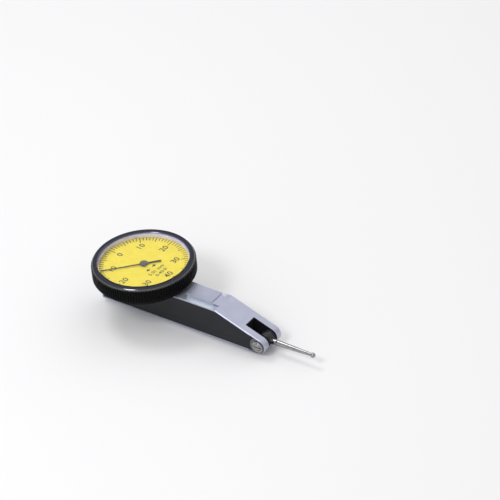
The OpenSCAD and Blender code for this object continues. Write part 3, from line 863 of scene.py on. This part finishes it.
# %% [markdown]
# The numbers are printed in a plain sans serif. They could be drawn as outlines by hand, but text
# objects bring such a letter with them. A text is a flat curve, so it is given a little
# thickness, turned into a mesh, scaled to the height wanted and only then moved to its place.


# %% Print the numbers
def on_dial(right, up):
    """The place of a piece of print: the dial's zero is at the top, turned to its direction."""
    turn = Matrix.Rotation(zero_direction - math.pi / 2, 4, "Z")
    return turn @ Matrix.Translation((right, up, ink_middle))


def printed(words, height, right, up, weight):
    """Lettering of a height in millimetres, centred at a place on the upright dial."""
    thickness = 0.02
    curve = bpy.data.curves.new("words", "FONT")
    curve.body, curve.align_x, curve.space_character = words, "CENTER", 1.05
    curve.offset, curve.extrude = weight, thickness / 2
    curve.resolution_u = 6
    mesh = plain_mesh(linked("words", curve))
    points = [v.co.copy() for v in mesh.vertices]
    low = Vector([min(p[i] for p in points) for i in range(3)])
    high = Vector([max(p[i] for p in points) for i in range(3)])
    scale = height / (high.y - low.y)
    sized = Matrix.Diagonal((scale, scale, ink_depth / thickness, 1))
    centred = Matrix.Translation(-(low + high) / 2)
    mesh.transform(Matrix.Scale(MM, 4) @ on_dial(right, up) @ sized @ centred)
    return mesh


numbers = ["0", "10", "20", "30", "40", "30", "20", "10"]
number_ring, number_height = 11.85, 2.5
for k, words in enumerate(numbers):
    angle = 2 * math.pi * k / len(numbers)
    place = number_ring * math.sin(angle), number_ring * math.cos(angle)
    print_parts.append(printed(words, number_height, *place, 0.012))
for words, height, below in (("0.01 mm", 1.6, 6.2), ("0-40-0", 1.5, 8.6)):
    print_parts.append(printed(words, height, -0.3, -below, 0.015))
print("numbers printed:", len(numbers))

# %% [markdown]
# Two arrows say which way the pointer goes. An arrow is one outline, of which only the upper half
# is typed, given the thickness of the ink. Then all the print becomes one piece.


# %% Print the arrows
def arrow(right, up, way):
    """A small solid arrowhead with a short tail, pointing left or right."""
    upper = [(-0.35, 0.75), (-0.35, 0.16), (-1.1, 0.16)]
    outline = [(1.0, 0.0)] + upper + [(x, -y) for x, y in reversed(upper)]
    shape = bmesh.new()
    lower_row, upper_row = (
        [shape.verts.new((way * x, y, z)) for x, y in outline]
        for z in (-ink_depth / 2, ink_depth / 2)
    )
    shape.faces.new(lower_row)
    shape.faces.new(upper_row)
    for k in range(len(outline)):
        shape.faces.new([lower_row[k - 1], lower_row[k], upper_row[k], upper_row[k - 1]])
    bmesh.ops.recalc_face_normals(shape, faces=shape.faces)
    bmesh.ops.transform(shape, matrix=on_dial(right, up), verts=shape.verts)
    return mesh_of(shape)


print_parts += [arrow(-2.0, -3.7, -1), arrow(1.6, -3.6, 1)]
all_print = bmesh.new()
for part in print_parts:
    all_print.from_mesh(part)
bmesh.ops.remove_doubles(all_print, verts=all_print.verts, dist=1e-5 * MM)
print_mesh = bpy.data.meshes.new("dial_print")
all_print.to_mesh(print_mesh)
all_print.free()
fasten("dial_print", print_mesh, "dial_head", "charcoal", ink)

# %% [markdown]
# ### The ring under the crystal, and the crystal
#
# A bright aluminium ring holds the dial down and leans in under the crystal, where it shows as a
# pale wall round the dial. The crystal is a flat disc with a chamfered rim, level with the lip.
# Both are round, so the lathe makes them.

# %% Turn the ring and the crystal
ring_low, ring_high = measured("dial_retaining_ring")
fasten(
    "dial_ring",
    mesh_of(
        turned(
            [
                (ring_high.x - 0.23, ring_low.z, 0),
                (ring_high.x, ring_low.z, 0),
                (ring_high.x, ring_high.z, 0),
                (ring_high.x - 0.48, ring_high.z, 0.05),
            ],
            steps=240,
        )
    ),
    "dial_head",
    "satin_chrome",
    aluminium,
    "dial_retaining_ring",
)
fasten(
    "crystal_disc",
    mesh_of(
        turned(
            [
                (0, glass_low.z, 0),
                (glass_high.x, glass_low.z, 0),
                (glass_high.x, glass_high.z - 0.2, 0.04),
                (glass_high.x - 0.28, glass_high.z, 0.06),
                (0, glass_high.z, 0),
            ],
            steps=180,
        )
    ),
    "dial_head",
    "crystal",
    crystal,
    "crystal",
)

# %% [markdown]
# ### Edges
#
# The solids have perfectly sharp edges, and a sharp edge catches no light. Copies of the pieces
# that show are merged, their flat triangles are joined back into whole faces, and a narrow bevel
# runs along every edge that turns more than a given angle. The bevel keeps the flat faces flat in
# shading, which is what harden normals does.


# %% Soften a solid's edges
nearly_flat, sharp = math.radians(0.6), math.radians(35)


def soft_copy(node, width):
    """A copy of a solid with its edges bevelled by a width in millimetres."""
    copy = bmesh.new()
    copy.from_mesh(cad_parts[node].data)
    bmesh.ops.remove_doubles(copy, verts=copy.verts, dist=1e-4 * MM)
    bmesh.ops.dissolve_limit(copy, angle_limit=nearly_flat, verts=copy.verts, edges=copy.edges)
    mesh = bpy.data.meshes.new(node)
    copy.to_mesh(mesh)
    copy.free()
    mesh.shade_smooth()
    holder = linked("soft", mesh)
    bevel = holder.modifiers.new("edges", "BEVEL")
    bevel.width, bevel.segments, bevel.limit_method = width * MM, 2, "ANGLE"
    bevel.angle_limit, bevel.use_clamp_overlap = sharp, False
    bevel.harden_normals = True
    return plain_mesh(holder)


for name, node, width, slot, material in (
    ("near_cover", "near_side_cover", 0.06, "charcoal", charcoal),
    ("far_cover", "far_side_cover", 0.06, "charcoal", charcoal),
    ("fork_screws", "pivot_screws", 0.06, "polished_steel", polished),
    ("fork_nuts", "pivot_locknuts", 0.06, "polished_steel", polished),
    ("side_screws", "cover_screws", 0.05, "polished_steel", polished),
):
    fasten(name, soft_copy(node, width), "housing", slot, material, node)

# %% [markdown]
# ### The pointer
#
# The hand is a thin tapered blade, pressed from sheet and painted dark, with a round cap on its
# hub. The cap is turned with a slightly domed top.

# %% Shape the hand
cap_low, cap_high = measured("pointer_cap")
fasten("hand", soft_copy("pointer", 0.03), "hand", "hand_grey", hand_paint, "pointer")
fasten(
    "hand_cap",
    mesh_of(
        turned(
            [
                (0, cap_low.z, 0),
                (cap_high.x, cap_low.z, 0.03),
                (cap_high.x, cap_high.z - 0.06, 0.08),
                (cap_high.x * 0.6, cap_high.z - 0.015, 0),
                (0, cap_high.z, 0),
            ],
            steps=64,
        )
    ),
    "hand",
    "hand_grey",
    cap_paint,
    "pointer_cap",
)

# %% [markdown]
# ### The contact point
#
# The contact point is turned along its own axis, from the pivot to the ball. The line between the
# two measured centres gives that axis, and a small cross hole in the collar takes the pin that
# screws it in. The hole could be left to a dark spot in the finish, but its rim would catch no
# light, so a Boolean modifier drills it, and the result is kept as a plain mesh. A dark pin, a
# little shorter than the hole, sits inside it as painted shade for the shade deep in the hole.

# %% Turn the contact point
reach = ball - pivot
along = reach.normalized()
contact_place = Matrix.Translation(pivot) @ along.to_track_quat("Z", "Y").to_matrix().to_4x4()
ball_radius = (ball_high.z - ball_low.z) / 2
stem_low, stem_high = measured("contact_stem")
collar_radius = (stem_high.y - stem_low.y) / 2
collar_start, collar_end = 3.4, 6.1


def drilled(mesh, hole):
    """Takes one mesh away from another."""
    body, drill = linked("body", mesh), linked("drill", hole)
    cut = body.modifiers.new("hole", "BOOLEAN")
    cut.object, cut.solver = drill, "EXACT"
    result = plain_mesh(body, drill)
    result.shade_smooth()
    result.set_sharp_from_angle(angle=sharp)
    return result


stem_shape = turned(
    [
        (0, 1.1, 0),
        (0.7, 1.1, 0.08),
        (0.7, collar_start, 0),
        (collar_radius, collar_start, 0.08),
        (collar_radius, collar_end, 0),
        (0.65, reach.length - 0.35, 0),
        (0, reach.length - 0.35, 0),
    ],
    steps=64,
    place=contact_place,
)
hole_middle, hole_radius = collar_end - 1.0, 0.42
hole_turn = Matrix.Rotation(math.radians(35), 4, "Z") @ Matrix.Rotation(-math.pi / 2, 4, "X")
hole_place = contact_place @ Matrix.Translation((0, 0, hole_middle)) @ hole_turn


def pin(radius, half):
    """A round pin through the collar, where the hole goes."""
    outline = [(0, -half, 0), (radius, -half, 0), (radius, half, 0), (0, half, 0)]
    return mesh_of(turned(outline, steps=24, place=hole_place))


rod_mesh = drilled(mesh_of(stem_shape), pin(hole_radius, 2))
# Painted shade: a dark pin inside the cross hole stands for the shade deep in it.
hole_shade_pin = pin(hole_radius - 0.005, 0.75)
fasten("contact_rod", rod_mesh, "contact_point", "polished_steel", polished, "contact_stem")
fasten("contact_hole", hole_shade_pin, "contact_point", "black_chrome", hand_paint)

# %% [markdown]
# The ball is a half circle swept round its own axis, and the hub keeps its solid's shape with its
# edges softened.

# %% Turn the ball and soften the hub
ball_steps = 32
ball_angles = [math.pi * k / ball_steps for k in range(ball_steps + 1)]
half_circle = [(ball_radius * math.sin(a), -ball_radius * math.cos(a), 0) for a in ball_angles]
ball_mesh = mesh_of(turned(half_circle, steps=64, place=Matrix.Translation(ball)), 60)
hub_mesh = soft_copy("contact_holder", 0.06)
fasten("contact_tip", ball_mesh, "contact_point", "polished_steel", polished, "contact_ball")
fasten("contact_hub", hub_mesh, "contact_point", "black_chrome", hub_black, "contact_holder")

# %% [markdown]
# ## Floor, light and camera
#
# The gauge stands on a plain pale floor. A soft even sky gives most of the light, so a colour
# renders about as it is written, and three soft lamps add shape. One stands high on the left and
# draws a bright line along the contact point, one in front lights the ends of the knurl's ribs,
# and a large weak one behind keeps the far edges clear of the floor.

# %% Floor and light
floor_shape = bmesh.new()
bmesh.ops.create_grid(floor_shape, size=1500)
floor = linked("floor", mesh_of(floor_shape))
floor.data.materials.append(
    Finish("floor").surface({"Base Color": (0.86, 0.86, 0.87), "Roughness": 0.9})
)

world = bpy.data.worlds.new("studio")
scene.world = world
world.use_nodes = True
sky = world.node_tree.nodes["Background"]
sky.inputs["Color"].default_value = (1.0, 1.0, 1.0, 1)
sky.inputs["Strength"].default_value = 0.72

lit_middle = Vector((0.02, 0, 0.01))


def softbox(name, direction, distance, size, power):
    """A round soft lamp, placed in a direction from the gauge and facing it, in metres."""
    light = bpy.data.lights.new(name, "AREA")
    light.shape, light.size, light.energy = "DISK", size, power
    lamp = linked(name, light)
    aim = Vector(direction).normalized()
    lamp.location = lit_middle + aim * distance
    lamp.rotation_euler = aim.to_track_quat("Z", "Y").to_euler()


softbox("softbox_top", (-0.5, 0.12, 0.86), distance=0.7, size=0.25, power=0.95)
softbox("softbox_front", (-0.06, -0.64, 0.77), distance=0.7, size=0.22, power=1.3)
softbox("softbox_back", (0.1, 0.7, 0.7), distance=0.8, size=0.7, power=0.42)

# %% [markdown]
# The camera is a long lens about a metre away, looking down on the dial from the front right. It
# is placed from the centre of the bezel's top face: a direction, a distance, a small roll, and
# how far that point lies from the middle of the view.

# %% Camera
azimuth, elevation, roll = (math.radians(a) for a in (38.092, 35.522, -5.669))
distance, aside, above = 1045.897, -40.28, -3.337

back = Vector((
    math.sin(azimuth) * math.cos(elevation),
    -math.cos(azimuth) * math.cos(elevation),
    math.sin(elevation),
))
level_right = (-back).cross(Vector((0, 0, 1))).normalized()
level_up = level_right.cross(-back)
right = math.cos(roll) * level_right + math.sin(roll) * level_up
up = math.cos(roll) * level_up - math.sin(roll) * level_right
seat = Vector((0, 0, bezel_top)) + back * distance - right * aside - up * above

lens = bpy.data.cameras.new("camera")
lens.lens, lens.sensor_width = 199.6, 36.0
lens.clip_start, lens.clip_end = 0.05, 20
facing = Matrix((right, up, back)).transposed().to_4x4()
camera = linked("camera", lens)
camera.matrix_world = Matrix.Translation(seat * MM) @ facing
scene.camera = camera
scene.view_settings.view_transform = "Standard"
print("camera at", [round(c) for c in seat], "mm")
